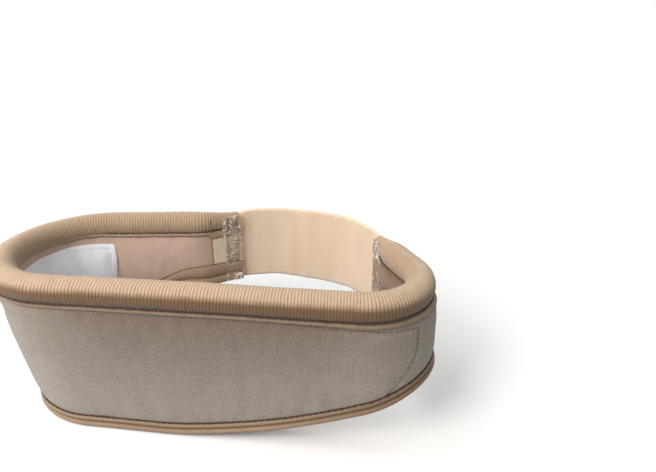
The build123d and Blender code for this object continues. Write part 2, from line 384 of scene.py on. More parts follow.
def against(piece, s, z, side, lift):
    """A point lift mm proud of a piece's surface; side is 1 outside the loop and -1 inside it."""
    clear_of_wall = 14
    far = place(s, z, side * clear_of_wall)
    way = (place(s, z, 0) - far).normalized()
    hit, spot, _, _ = piece.ray_cast(far, way)
    return (spot if hit else place(s, z, side * half_wall(s))) - way * lift * MM


def threads(name, runs, materials):
    """Sewing threads. Each run is points in metres, a radius in mm or one for each point, and the
    number of its material.
    """
    curve = bpy.data.curves.new(name, "CURVE")
    curve.dimensions = "3D"
    curve.bevel_depth = MM
    curve.bevel_resolution = 1
    curve.use_fill_caps = True
    for material in materials:
        curve.materials.append(material)
    for points, radius, finish in runs:
        spline = curve.splines.new("POLY")
        spline.points.add(len(points) - 1)
        spline.material_index = finish
        for index, point in enumerate(points):
            spline.points[index].co = (*point, 1)
            spline.points[index].radius = radius[index] if hasattr(radius, "__len__") else radius
    piece = bpy.data.objects.new(name, curve)
    scene.collection.objects.link(piece)
    only(piece)
    bpy.ops.object.convert(target="MESH")
    piece.data.shade_smooth()
    return piece


def clamp(x, low=0.0, high=1.0):
    return min(max(x, low), high)


def ease(x):
    """From 0 to 1 as x does, with a gentle start and end."""
    x = clamp(x)
    return x * x * (3 - 2 * x)


def fullness(s):
    """0 at the tabs' free ends, 1 where the band has its full thickness."""
    left = ease((s - LEFT_FILLS_OUT[0]) / LEFT_FILLS_OUT[1])
    right = ease((RIGHT_END - RIGHT_FILLS_OUT[0] - s) / RIGHT_FILLS_OUT[1])
    return min(left, right)


def half_wall(s):
    """Half the wall's thickness, which thins into the tabs."""
    return TAB_HALF + (WALL_HALF - TAB_HALF) * fullness(s)


def flange_low(s, side=1):
    """Lower edge of the roll's flange, which widens at the right end and at the tabs."""
    at_right = 0.8 * ease((plan_at(s, 0)[0].x - 35) / 35)
    at_left_tab = 2.4 * ease((LEFT_TAB + 1 - s) / 2)
    at_right_tab = 9.0 * ease((s - BAND_END + FLANGE_CHANGES) / 22) if side < 0 else 0.0
    return FLANGE_LOW - at_right - at_left_tab - at_right_tab + seam_rise(s, side)


def seam_rise(s, side):
    """Inside the tight left end the flange and its seam ride up."""
    return 1.3 * ease((-plan_at(s, 0)[0].x - 45) / 25) if side < 0 else 0.0


def bare(s):
    """1 on the padded band's bare cloth, 0 on the flat tabs."""
    return min(ease((s - LEFT_TAB) / 9), ease((BAND_END - s) / 9))


# ---- materials ----
def srgb(red, green, blue):
    def linear(value):
        value /= 255
        return value / 12.92 if value <= 0.04045 else ((value + 0.055) / 1.055) ** 2.4

    return (linear(red), linear(green), linear(blue), 1.0)


class Nodes:
    """Short way to build a node tree."""

    def __init__(self, tree):
        self.tree = tree

    def add(self, kind, inputs=None, **settings):
        node = self.tree.nodes.new(kind)
        for key, value in settings.items():
            setattr(node, key, value)
        for key, value in (inputs or {}).items():
            self.feed(node.inputs[key], value)
        return node

    def feed(self, socket, value):
        if isinstance(value, bpy.types.NodeSocket):
            self.tree.links.new(value, socket)
        else:
            socket.default_value = value

    def maths(self, operation, a, b=0.0, clamped=False):
        node = self.add("ShaderNodeMath", operation=operation, use_clamp=clamped)
        self.feed(node.inputs[0], a)
        self.feed(node.inputs[1], b)
        return node.outputs[0]

    def mix(self, share, a, b):
        """The colour that lies a share of the way from a to b."""
        node = self.add("ShaderNodeMix", data_type="RGBA")
        for key, value in ((0, share), (6, a), (7, b)):
            self.feed(node.inputs[key], value)
        return node.outputs[2]


def cloth_group():
    """Knitted loops, fibres and uneven dye for every cloth and thread here, from coordinates in mm."""
    group = bpy.data.node_groups.new("cloth_weave", "ShaderNodeTree")
    group.interface.new_socket("Millimetres", in_out="INPUT", socket_type="NodeSocketVector")
    for name, value in (("Wale pitch", 0.5), ("Course pitch", 0.6), ("Loops", 1.0), ("Fuzz", 1.0)):
        socket = group.interface.new_socket(name, in_out="INPUT", socket_type="NodeSocketFloat")
        socket.default_value = value
    group.interface.new_socket("Tone", in_out="OUTPUT", socket_type="NodeSocketFloat")
    group.interface.new_socket("Height", in_out="OUTPUT", socket_type="NodeSocketFloat")
    n = Nodes(group)
    inside = n.add("NodeGroupInput").outputs
    where = inside["Millimetres"]
    bend = n.add("ShaderNodeTexNoise", {"Vector": where, "Scale": 0.35, "Detail": 2.0}).outputs[0]
    parts = n.add("ShaderNodeSeparateXYZ", {0: where}).outputs
    wale = n.maths("DIVIDE", n.maths("ADD", parts[0], n.maths("MULTIPLY", bend, 0.5)), inside["Wale pitch"])
    course = n.maths("DIVIDE", parts[1], inside["Course pitch"])
    wave = n.maths("ABSOLUTE", n.maths("SINE", n.maths("MULTIPLY", wale, math.pi)))
    lean = n.maths("ADD", course, n.maths("MULTIPLY", wave, 0.35))
    loops = n.maths("SINE", n.maths("MULTIPLY", lean, math.tau))
    knit = n.maths("ADD", n.maths("MULTIPLY", wave, 0.75), n.maths("MULTIPLY", loops, 0.18))
    knit = n.maths("MULTIPLY", knit, inside["Loops"])
    fine = {"Vector": where, "Scale": 1.1, "Detail": 5.0, "Roughness": 0.65}
    fibres = n.add("ShaderNodeTexNoise", fine).outputs[0]
    broad = n.add("ShaderNodeTexNoise", {"Vector": where, "Scale": 0.12, "Detail": 3.0}).outputs[0]
    fuzz = n.maths("MULTIPLY", n.maths("SUBTRACT", fibres, 0.5), inside["Fuzz"])
    height = n.maths("ADD", knit, fuzz)
    dye = n.maths("ADD", n.maths("MULTIPLY", broad, 0.28), 0.06)
    tone = n.maths("ADD", n.maths("MULTIPLY", height, 0.62), dye)
    outside = n.add("NodeGroupOutput")
    group.links.new(tone, outside.inputs["Tone"])
    group.links.new(height, outside.inputs["Height"])
    return group


WEAVE = cloth_group()


BUMP_DEPTH = 0.0002
STREAK_SCALE = (0.16, 0.012, 0.0)


def cloth(name, dark, light, wale=0.5, course=0.6, loops=1.0, fuzz=1.0, bump=0.25, rough=0.95,
          sheen=0.25, painted_shade_tones=None, streaks=None, thread=False):
    """Cloth or thread.

    dark and light are the tones of its valleys and its raised loops; its two tones of painted shade take
    their place where the shade attribute is 0; streaks is the tone of broad bands across the cloth.
    """
    material = bpy.data.materials.new(name)
    material.use_nodes = True
    tree = material.node_tree
    n = Nodes(tree)
    shader = tree.nodes["Principled BSDF"]
    if thread:
        metres = n.add("ShaderNodeTexCoord").outputs["Object"]
        where = n.add("ShaderNodeVectorMath", {0: metres, "Scale": 1000.0}, operation="SCALE").outputs[0]
    else:
        where = n.add("ShaderNodeUVMap", uv_map="cloth").outputs[0]
    weave = n.add("ShaderNodeGroup", node_tree=WEAVE)
    n.feed(weave.inputs["Millimetres"], where)
    for key, value in (("Wale pitch", wale), ("Course pitch", course), ("Loops", loops), ("Fuzz", fuzz)):
        weave.inputs[key].default_value = value
    colour = n.mix(weave.outputs["Tone"], dark, light)
    if streaks:
        stretched = n.add("ShaderNodeVectorMath", {0: where, 1: STREAK_SCALE}, operation="MULTIPLY")
        across = stretched.outputs[0]
        band = n.add("ShaderNodeTexNoise", {"Vector": across, "Scale": 1.0, "Detail": 2.0}).outputs[0]
        band = n.maths("MULTIPLY", n.maths("SUBTRACT", band, 0.42), 4.0, clamped=True)
        colour = n.mix(band, colour, streaks)
    # Painted shade: where the shade attribute is low, the colour turns to the darker pair of tones.
    if painted_shade_tones:
        shade = n.add("ShaderNodeAttribute", attribute_name="shade").outputs["Fac"]
        colour = n.mix(shade, n.mix(weave.outputs["Tone"], *painted_shade_tones), colour)
    n.feed(shader.inputs["Base Color"], colour)
    raised = {"Strength": bump, "Distance": BUMP_DEPTH, "Height": weave.outputs["Height"]}
    n.feed(shader.inputs["Normal"], n.add("ShaderNodeBump", raised).outputs[0])
    shader.inputs["Roughness"].default_value = rough
    shader.inputs["Specular IOR Level"].default_value = 0.15
    shader.inputs["Sheen Weight"].default_value = sheen
    shader.inputs["Sheen Roughness"].default_value = 0.6
    return material


# The second, darker pair of tones on the cover, lining, roll and tab is painted shade, laid on by the shade
# attribute: under the roll, inside the right end, and in the roll's grooves and underside.
COVER = cloth("cover_knit", srgb(134, 126, 115), srgb(189, 178, 164), fuzz=2.2, bump=0.4,
              painted_shade_tones=(srgb(91, 76, 65), srgb(137, 120, 106)))
LINING = cloth("lining_cloth", srgb(184, 156, 138), srgb(214, 188, 170), wale=0.8, loops=0.4, bump=0.2,
               painted_shade_tones=(srgb(110, 78, 52), srgb(134, 98, 68)))
RIB = cloth("rib_binding", srgb(182, 153, 124), srgb(219, 197, 173), wale=0.33, course=0.5, loops=0.5,
            bump=0.3, painted_shade_tones=(srgb(90, 63, 37), srgb(119, 87, 53)))
# The seam thread's dark brown is partly its own colour and partly painted shade of the creases it lies in.
SEAM = cloth("seam_thread", srgb(44, 29, 18), srgb(82, 56, 37), wale=0.3, course=0.3, fuzz=1.5, bump=0.5,
             thread=True)
PAD = cloth("pad_cloth", srgb(230, 232, 242), srgb(249, 250, 255), wale=1.2, loops=0.15, fuzz=1.6, bump=0.25,
            sheen=0.6)
PAD_THREAD = cloth("pad_thread", srgb(226, 226, 232), srgb(244, 244, 248), loops=0.5, thread=True)
OUTLINE_THREAD = cloth("outline_thread", srgb(96, 80, 66), srgb(140, 120, 102), loops=0.5, thread=True)
TAB = cloth("tab_cloth", srgb(214, 194, 166), srgb(242, 226, 200), wale=0.7, loops=0.4, bump=0.2,
            painted_shade_tones=(srgb(118, 86, 58), srgb(142, 106, 78)))
TACK = cloth("tack_thread", srgb(234, 216, 198), srgb(252, 246, 238), fuzz=1.5, bump=0.5, thread=True)
TACK_DARK = cloth("tack_thread_dark", srgb(166, 140, 122), srgb(206, 184, 168), fuzz=1.5, bump=0.5,
                  thread=True)
WEB = cloth("elastic_web", srgb(216, 190, 164), srgb(252, 238, 216), wale=1000.0, course=0.75, loops=1.8,
            fuzz=0.7, bump=0.25, sheen=0.4, rough=0.8, streaks=srgb(228, 201, 172))
web_shader = WEB.node_tree.nodes["Principled BSDF"]
web_shader.inputs["Subsurface Weight"].default_value = 0.15
web_shader.inputs["Subsurface Radius"].default_value = (1.0, 0.7, 0.5)
web_shader.inputs["Subsurface Scale"].default_value = 0.0015


def finish_piece(piece, nodes, material=None, body=None):
    """Gives a piece its finish and hides the CAD nodes it stands for. With a body it is hung on that body;
    with none its place is baked into its mesh.
    """
    if material:
        piece.data.materials.append(material)
    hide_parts(*nodes)
    if body:
        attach(piece, body)
    else:
        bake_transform(piece)


def both(*names):
    """The left and right nodes of these names."""
    return [f"{side}_{name}" for name in names for side in ("left", "right")]


# ---- the pad's outline, which is sewn through to the cover ----
PAD_INSET = 1.8
PAD_SLANT = 0.38
PAD_LEFT_POINT = Vector((-53.0, 34.6))
PAD_LEFT_SHIFT = 1.2                   # from there back towards the left tab
PAD_RIGHT_HEADING = math.radians(-33)  # from the right corner's centre
RIGHT_CORNER_PIECE = 7                 # of the loop's lines and arcs


def pad_ends():
    """Where the pad's two ends lie along the rim."""
    left = s_of(PAD_LEFT_POINT) - PAD_LEFT_SHIFT
    centre = loop_pieces(0)[RIGHT_CORNER_PIECE][1]
    way = Vector((math.cos(PAD_RIGHT_HEADING), math.sin(PAD_RIGHT_HEADING)))
    return left, s_of(centre + way * RIGHT_CORNER_RADIUS)


PAD_LEFT, PAD_RIGHT = pad_ends()


def outline_top(s):
    """Height of the outline's upper line on the cover, which runs under the flange away from its end."""
    return 47.1 + 2.0 * ease((PAD_RIGHT - s) / 26) + 2.4 * ease((PAD_RIGHT - 30 - s) / 26)


def outline_end(s, z):
    """Where the outline's end line lies at this height: it curves away at its foot."""
    return PAD_RIGHT - 4.4 - 9.0 * clamp((low_at(s) + 19 - z) / 14) ** 2


def from_outline(s, z):
    """Distance from the pad's outline on the cover."""
    far = 9
    end = outline_end(s, z)
    past_end = abs(s - end) if z < outline_top(s) else far
    past_top = abs(z - outline_top(s)) if s < end else far
    return min(past_end, past_top)


# ---- the padded wall: cover outside, lining inside ----
WALL_STEP = 2.6
WALL_ROWS = 17
WALL_INSET = 0.9                       # short of the rim's free ends, and tucked into the bindings
WALL_TUCK = 1.0                        # up under the roll's flange
WALL_SUNK = 0.25
WALL_CROWN = 0.9
CLOTH_THICKNESS = 1.2


def cover_shade(s, share):
    """Painted shade: the cover is darker towards the roll, less so near both ends."""
    x = plan_at(s, 0)[0].x
    return 1 - share * (1 - 0.5 * ease((x - 35) / 40) - 0.75 * ease((-x - 25) / 50))


def lining_shade(s):
    """Painted shade: the lining is darker inside the right end."""
    return 1 - 0.75 * ease((s - BAND_END + 30) / 20)


def wall_cloth(name, side, low_rise, material, nodes):
    """The wall's cloth on one side of the foam: sewn down along both edges and filled between them."""
    outside = side > 0
    rows = []
    for s in spread(WALL_INSET, RIGHT_END - WALL_INSET, WALL_STEP):
        low, high = low_at(s) + low_rise, flange_low(s, side) + WALL_TUCK
        row = []
        for share in even(0, 1, WALL_ROWS) if outside else even(1, 0, WALL_ROWS):
            z = low + (high - low) * share
            crown = WALL_CROWN * (1 - abs(2 * share - 1) ** 4) * bare(s)
            ripple = (0.12 if outside else 0.05) * soft(s / 5, share * 2, 3.0) * bare(s)
            shade = cover_shade(s, share) if outside else lining_shade(s)
            offset = side * (half_wall(s) - WALL_SUNK + crown + ripple)
            row.append((place(s, z, offset), (s, z), shade))
        rows.append(row)
    piece = laid(name, rows)
    sewn = []
    for index, (s, z) in enumerate(flat_spots(piece.data)):
        share = (z - low_at(s) - low_rise) / (flange_low(s, side) + WALL_TUCK - low_at(s) - low_rise)
        if min(share, 1 - share) < 0.03 or bare(s) < 0.5:
            sewn.append(index)
    swell(piece, sewn, pressure=60, spare=0.012 if outside else 0.004, most=1.1)
    apply_modifier(piece, "SUBSURF", levels=2, render_levels=2)
    spots = flat_spots(piece.data)
    normals = [vertex.normal.copy() for vertex in piece.data.vertices]
    for vertex, normal, (s, z) in zip(piece.data.vertices, normals, spots):
        lift = (0.1 * soft(s / 4.5, z / 9, 2.0) + 0.08 * soft(s / 2.2, z / 3.1, 4.0)) * bare(s)
        if outside:
            lift -= 0.5 * math.exp(-(from_outline(s, z) / 0.8) ** 2)
        vertex.co += normal * lift * MM
    apply_modifier(piece, "SOLIDIFY", thickness=CLOTH_THICKNESS * MM, offset=-1.0)
    finish_piece(piece, nodes, material)
    return piece


outer_cover = wall_cloth("outer_cover", 1, BINDING_HEIGHT - WALL_INSET, COVER,
                         both("outer_cover", "foam_core"))
inner_lining = wall_cloth("inner_lining", -1, INNER_BINDING_HEIGHT - WALL_INSET, LINING,
                          both("inner_lining"))


# ---- ribbed roll and its two flanges ----
RIB_PITCH = 1.24                       # round the left end, where the ribs are stretched
RIB_NARROWS = 0.2                      # from there to the right end
RIB_TABLE_STEP = 2.0
RIB_STEP = 0.2                         # between stations, a fifth of a rib or less
RIB_FULLNESS = 0.45                    # 1 is a plain wave; less makes broad ribs and thin grooves
RIB_DEPTH = 0.27
ROLL_SIDES = 30
TAB_ROLL_WIDE = 2.5                    # half the squeezed roll's width and height on the tabs
TAB_ROLL_TALL = 4.2


def rib_table():
    """Ribs counted from the left tab, at even ways along the rim."""
    count, table = 0.0, [0.0]
    for step in range(int(LOOP_LENGTH / RIB_TABLE_STEP) + 2):
        x = plan_at(step * RIB_TABLE_STEP, 0)[0].x
        count += RIB_TABLE_STEP / (RIB_PITCH - RIB_NARROWS * ease((x + 60) / 130))
        table.append(count)
    return table


RIBS = rib_table()


def rib(s, angle):
    """Height of the rib across the binding, 0 in a groove and 1 on a rib."""
    s = s + 0.25 * math.sin(angle + s / 23) + 0.2 * soft(s / 11, angle, 5.0)
    step = clamp(s / RIB_TABLE_STEP, 0, len(RIBS) - 2)
    low = int(step)
    count = RIBS[low] + (RIBS[low + 1] - RIBS[low]) * (step - low)
    return abs(math.sin(math.pi * count)) ** RIB_FULLNESS


def roll_section(s):
    """One section of the roll, with painted shade: bright on top, darker in its grooves, dark and brown on
    its outer underside, less bright on its inner side and less dark under the right corner.
    """
    full = fullness(s)
    wide = TAB_ROLL_WIDE + (ROLL_RADIUS - TAB_ROLL_WIDE) * full
    tall = TAB_ROLL_TALL + (ROLL_RADIUS - TAB_ROLL_TALL) * full
    end = ease(min(s, RIGHT_END - s) / 1.6)
    middle = ROLL_Z - 0.6 * (1 - full)
    row = []
    for step in range(ROLL_SIDES):
        angle = math.tau * step / ROLL_SIDES
        lump = 1 + 0.03 * soft(s / 13, math.cos(angle), math.sin(angle), 2.0)
        raised = rib(s, angle)
        depth = RIB_DEPTH * raised * (0.45 + 0.55 * full)
        across = (wide * lump - 0.2 + depth) * math.cos(angle) * (0.55 + 0.45 * end)
        along = (tall * lump - 0.2 + depth) * math.sin(angle) * (0.7 + 0.3 * end)
        # random patches where the painted shade is stronger or weaker
        shade_patches = 0.5 + 0.5 * soft(s / 5, angle * 1.5, 7.0)
        above = ease((math.sin(angle) - 0.2 + 0.16 * (shade_patches - 0.5)) / 0.42)
        inner = ease(-math.cos(angle) / 0.5)
        below = min(0.1 + 0.68 * inner + 0.42 * math.exp(-((s - RIGHTMOST) / 15) ** 2), 0.78)
        contrast = (0.55 + 0.45 * full) * (0.75 + 0.35 * shade_patches)
        # painted shade: grooves darker, top brightest, underside darkest
        shade = (1 - contrast * (1 - raised)) * (below + (1 - 0.22 * inner - below) * above)
        row.append((place(s, middle + along, across, flare=0.6), (s, angle * ROLL_RADIUS), shade))
    return row


def flange_section(s, side):
    """The binding's sewn edge under the roll, on one side of the wall. Its shade is painted shade: dark
    under the roll and in its tucked edges, lighter on its ribs, and darker inside towards the right end.
    """
    half = half_wall(s) + 0.3
    raised = rib(s, 1.0)
    depth = 0.1 * raised
    low = flange_low(s, side) + 0.2 * soft(s / 6, side, 4.0)
    high = FLANGE_HIGH + seam_rise(s, side)
    tall = high - low
    # painted shade: dark under the roll, darker inside near the right end, lighter on the ribs
    tone = 0.25 if side > 0 else 0.5 - 0.4 * ease((s - BAND_END + FLANGE_CHANGES) / 14)
    tone = tone + 0.14 * raised + 0.12 * soft(s / 4, side, 8.0)
    shape = (
        (high, half - 0.3, 0.1),
        (low + 0.72 * tall, half + 0.4 + depth, tone),
        (low + 0.45 * tall, half + 0.55 + depth, tone + 0.1),
        (low + 0.18 * tall, half + 0.45 + depth, tone),
        (low, half + 0.1, 0.2),
        (low + 0.2, half - 0.6, 0.2),
        (high, half - 0.9, 0.1),
    )
    return [(place(s, z, side * offset), (s, z), shade) for z, offset, shade in shape]


def top_roll():
    stations = spread(0.5, RIGHT_END - 0.5, RIB_STEP)
    pieces = [laid("roll", [roll_section(s) for s in stations], closed=True)]
    for side in (1, -1):
        pieces.append(laid("flange", [flange_section(s, side) for s in stations[2:-2]], closed=True))
    piece = joined("top_roll", pieces)
    finish_piece(piece, both("top_binding", "piping_cord"), RIB)


top_roll()


# ---- bottom binding: a small roll under a flat strip ----
BINDING_RIBS = 1.3                     # of its ribs to each of the roll's
BINDING_STEP = 0.3


def inner_binding_height(s):
    """The binding stands higher on the lining towards the left tab."""
    return INNER_BINDING_HEIGHT + 2.2 * ease((38 - s) / 22)


def binding_section(s):
    """From the strip's edge on the cover, down round the foot and up to its edge on the lining.

    shape holds each spot's rise over the lower edge, its offset and its shade.
    """
    low = low_at(s)
    half = half_wall(s)
    raised = rib(s * BINDING_RIBS, 2.0)
    ribs = 0.14 * raised
    tuck = 0.3 * soft(s / 7, 1.0, 8.0)
    # painted shade: darker in the grooves, under the foot, at the tucked edges and towards the right end
    tone = (0.26 + 0.3 * raised) * (1 - 0.45 * ease((plan_at(s, 0)[0].x - 15) / 55))
    tall = inner_binding_height(s)
    shape = (
        (4.6 + tuck, half - 0.4, 0.2), (4.7 + tuck, half + 0.35, 0.3), (4.3, half + 0.75 + ribs, tone),
        (3.4, half + 0.85 + ribs, tone), (2.9, half + 0.45, 0.1), (2.6, half + 0.4, 0.1),
        (2.2, half + 1.0 + ribs, tone), (1.5, half + 1.35 + ribs, tone),
        (0.8, half + 1.15 + ribs, tone * 0.7), (0.3, half + 0.55, 0.3),
        (0.0, half - 0.5, 0.2), (0.0, -half + 0.5, 0.2), (0.3, -half - 0.5, 0.3),
        (1.0, -half - 1.2 - ribs, tone), (2.4, -half - 1.45 - ribs, tone), (3.8, -half - 1.15 - ribs, tone),
        (4.5, -half - 0.5, 0.15), (4.9, -half - 0.5, 0.15), (5.6, -half - 0.95 - ribs, tone),
        (tall - 1.1, -half - 0.85 - ribs, tone), (tall - 0.3 + tuck, -half - 0.4, 0.3),
        (tall - 0.3 + tuck, -half + 0.4, 0.2),
    )
    row = []
    across = 0.0
    for index, (rise, offset, shade) in enumerate(shape):
        if index:
            across += math.hypot(rise - shape[index - 1][0], offset - shape[index - 1][1])
        row.append((place(s, low + rise, offset), (s, across), shade))
    return row


def bottom_binding():
    rows = [binding_section(s) for s in spread(0.6, RIGHT_END - 0.6, BINDING_STEP)]
    finish_piece(laid("bottom_binding", rows, closed=True), both("bottom_binding"), RIB)


bottom_binding()


# ---- seams ----
OUTER_SEAM = 52.7
INNER_SEAM = 52.5
SEAM_START = 1.5
SEAM_END = RIGHT_END - 1.5
THREAD_STEP = 0.35
OVERLOCK_PITCH = 2.9


def sewn_line(path_at, pitch, radius, gap, finish=0):
    """One thread along a seam, thinner where it dips between its stitches."""
    path, radii = [], []
    for s in spread(SEAM_START, SEAM_END, THREAD_STEP):
        rise = math.sin(math.pi * ((s / pitch) % 1.0)) ** 0.5
        path.append(path_at(s, rise))
        radii.append(radius * (gap + (1 - gap) * rise) * (1 + 0.25 * soft(s / 9, 2.0, 2.0)))
    return path, radii, finish


def top_seams():
    """A thread along each face of the wall under the roll, and slanting overlock threads inside."""
    def outer(s, up):
        return place(s, OUTER_SEAM + 0.12 * soft(s / 3, 1, 1), half_wall(s) + 1.05 + 0.1 * up)

    def inner(s, up):
        height = INNER_SEAM + seam_rise(s, -1) + 0.2 * soft(s / 3, 1, 4)
        return place(s, height, -half_wall(s) - 0.7 - 0.1 * up)

    random.seed(4)
    runs = [sewn_line(outer, pitch=2.4, radius=0.4, gap=0.7)]
    runs.append(sewn_line(inner, pitch=1.7, radius=0.26, gap=0.5))
    for s in spread(2, RIGHT_END - 2, OVERLOCK_PITCH):
        wild = random.uniform(-0.5, 0.5)
        z = seam_rise(s, -1)
        slant = (
            (s, z + 51.9 + wild * 0.4),
            (s + 0.6, z + 52.5),
            (s + 1.5 + wild, z + 52.7),
            (s + 2.2, z + 52.2),
        )
        half = half_wall(s) + 0.85
        runs.append(([place(a, height, -half) for a, height in slant], random.uniform(0.12, 0.26), 0))
    finish_piece(threads("top_seam_stitches", runs, [SEAM]), both("top_seam_thread"))


def bottom_seams():
    """A thread along the binding's edge on each face of the wall."""
    def outer(s, up):
        height = low_at(s) + BINDING_HEIGHT - 0.25 + 0.12 * soft(s / 3, 2, 2)
        return place(s, height, half_wall(s) + 0.2 + 0.15 * up)

    def inner(s, up):
        height = low_at(s) + inner_binding_height(s) - 0.1 + 0.12 * soft(s / 3, 2, 2)
        return place(s, height, -half_wall(s) - 0.2 - 0.15 * up)

    runs = [sewn_line(outer, pitch=2.4, radius=0.36, gap=0.5)]
    runs.append(sewn_line(inner, pitch=2.4, radius=0.26, gap=0.5, finish=1))
    piece = threads("bottom_seam_stitches", runs, [SEAM, OUTLINE_THREAD])
    finish_piece(piece, both("bottom_seam_thread"))


top_seams()
bottom_seams()


# ---- the sewn pad ----
EDGE_STEPS = (0.0, 0.9, PAD_INSET, 2.8, 4.4)
PAD_STEP = 2.6
PAD_ROWS = 9
PAD_CORNER = 3.0
PAD_GAP = 0.4                          # above the inner binding


def pad_s(s, z):
    """Stands the pad's left end upright on the leaning wall."""
    return s + PAD_SLANT * (PAD_TOP - z) * ease(1 - (s - PAD_LEFT) / 40)


def pad_top(s):
    """The pad follows the seam up inside the left end."""
    return PAD_TOP + 2.0 * ease((-plan_at(s, 0)[0].x - 48) / 25)


def between_edges(low, high, count):
    """Close values beside each edge, count even steps between them."""
    *close, reach = EDGE_STEPS
    near_low = [low + step for step in close]
    near_high = [high - step for step in reversed(close)]
    return near_low + even(low + reach, high - reach, count) + near_high


def spot_key(point):
    return tuple(round(value, 6) for value in point)


def neck_pad():
    """Soft pad laid on the lining, held down along its edge and along its sewn outline."""
    rows, held = [], set()
    count = round((PAD_RIGHT - PAD_LEFT) / PAD_STEP)
    for s in between_edges(PAD_LEFT, PAD_RIGHT, count):
        from_end = min(s - PAD_LEFT, PAD_RIGHT - s)
        cut = PAD_CORNER - math.sqrt(max(PAD_CORNER**2 - max(PAD_CORNER - from_end, 0) ** 2, 0.01))
        low, high = low_at(s) + INNER_BINDING_HEIGHT + PAD_GAP + cut, pad_top(s) - cut
        row = []
        for z in between_edges(low, high, PAD_ROWS):
            inside = min(from_end, z - low, high - z)
            puff = 0.5 * ease(inside / 0.9) + 0.8 * ease((inside - PAD_INSET) / 7)
            wrinkle = 0.2 * soft(s / 7, z / 12, 6.0) * ease(inside / 5)
            spot = against(inner_lining, pad_s(s, z), z, -1, 0.25 + puff + wrinkle)
            row.append((spot, (s, z), 0.5))
            if inside < 0.05 or abs(inside - PAD_INSET) < 0.05:
                held.add(spot_key(spot))
        for z in (high, low):
            spot = against(inner_lining, pad_s(s, z), z, -1, -0.3)
            row.append((spot, (s, z), 0.5))
            held.add(spot_key(spot))
        rows.append(row)
    piece = laid("neck_pad", rows, closed=True)
    sewn = [vertex.index for vertex in piece.data.vertices if spot_key(vertex.co) in held]
    swell(piece, sewn, pressure=120, spare=0.012, most=0.5)
    apply_modifier(piece, "SUBSURF", levels=2, render_levels=2)
    finish_piece(piece, both("inner_pad"), PAD)
    return piece


pad = neck_pad()


def dashes(path, pitch, dash, radius, finish):
    """Stitches of dash mm every pitch mm along a path of close points."""
    runs, run, length = [], [], 0.0
    for index, point in enumerate(path):
        if index:
            length += (point - path[index - 1]).length / MM
        if length % pitch < dash:
            run.append(point)
            continue
        if len(run) > 1:
            runs.append((run, radius, finish))
        run = []
    return runs


def pad_outline():
    """The pad's sewn outline, on the pad and through to the outer cover."""
    pitch, radius, proud = 2.2, 0.16, 0.05
    top = outline_top(PAD_RIGHT)
    across = [(s, outline_top(s)) for s in spread(PAD_RIGHT - 50, outline_end(PAD_RIGHT, top), 0.3)]
    foot = low_at(PAD_RIGHT) + BINDING_HEIGHT - 0.4
    down = [(outline_end(PAD_RIGHT, z), z) for z in spread(top, foot, 0.3)]
    on_cover = [against(outer_cover, s, z, 1, proud) for s, z in across + down]
    left, right = PAD_LEFT + PAD_INSET, PAD_RIGHT - PAD_INSET
    rise = INNER_BINDING_HEIGHT + PAD_GAP + PAD_INSET
    outline = [(s, pad_top(s) - PAD_INSET) for s in spread(left, right, 0.4)]
    outline += [(right, z) for z in spread(pad_top(right) - PAD_INSET, low_at(right) + rise, 0.4)]
    outline += [(s, low_at(s) + rise) for s in spread(right, left, 0.4)]
    outline += [(left, z) for z in spread(low_at(left) + rise, pad_top(left) - PAD_INSET, 0.4)]
    on_pad = [against(pad, pad_s(s, z), z, -1, proud) for s, z in outline]
    runs = dashes(on_cover, pitch, 1.7, radius, 1) + dashes(on_pad, pitch, 1.5, radius, 0)
    piece = threads("pad_outline_stitches", runs, [PAD_THREAD, OUTLINE_THREAD])
    finish_piece(piece, both("pad_stitching"))


pad_outline()


# ---- tabs, bartacks and the tab's stitching ----
TAB_FOOT = 5.4                         # above the lower edge
TAB_TUCK = 0.6                         # up under the roll's flange
TAB_ROWS = 24
TACK_COLUMNS = 6
TACK_PITCH = 1.4
TACK_TOP = 58.4
STRAY_THREADS = 40
STITCH_TOP = 58.0


def tab(name, start, end, node, body):
    """A flat end's cloth, from face to face; its inner face has painted shade at the right end."""
    rows = []
    for s in spread(start, end, 0.5):
        low, high = low_at(s) + TAB_FOOT, flange_low(s) + TAB_TUCK
        half = half_wall(s) - 0.1 + 0.5 * ease(min(s - start, end - s) / 0.8)
        row = []
        for side, heights in ((1, even(low, high, TAB_ROWS)), (-1, even(high, low, TAB_ROWS))):
            # painted shade on the right tab's inner face
            shade = 0.35 if side < 0 and s > BAND_END else 1.0
            for z in heights:
                offset = side * half + 0.12 * soft(s / 3, z / 6, 9.0 + side)
                row.append((place(s, z, offset), (s, z), shade))
        rows.append(row)
    finish_piece(laid(name, rows, closed=True), [node], TAB, body)


tab("left_tab_cloth", 1.0, LEFT_TAB - 0.3, "left_end_tab", "left_half")
tab("right_tab_cloth", BAND_END + 0.3, RIGHT_END - 1.0, "right_end_tab", "right_half")


def over_layers(s, z):
    """How far a thread stands out to clear the binding, flange and roll of the flattened end."""
    near_top = ease((z - 50) / 2)
    near_foot = ease((5 - z + low_at(s)) / 2)
    return half_wall(s) + 0.55 + 0.9 * near_top * (1 - abs(z - 55) / 6) + 0.7 * near_foot


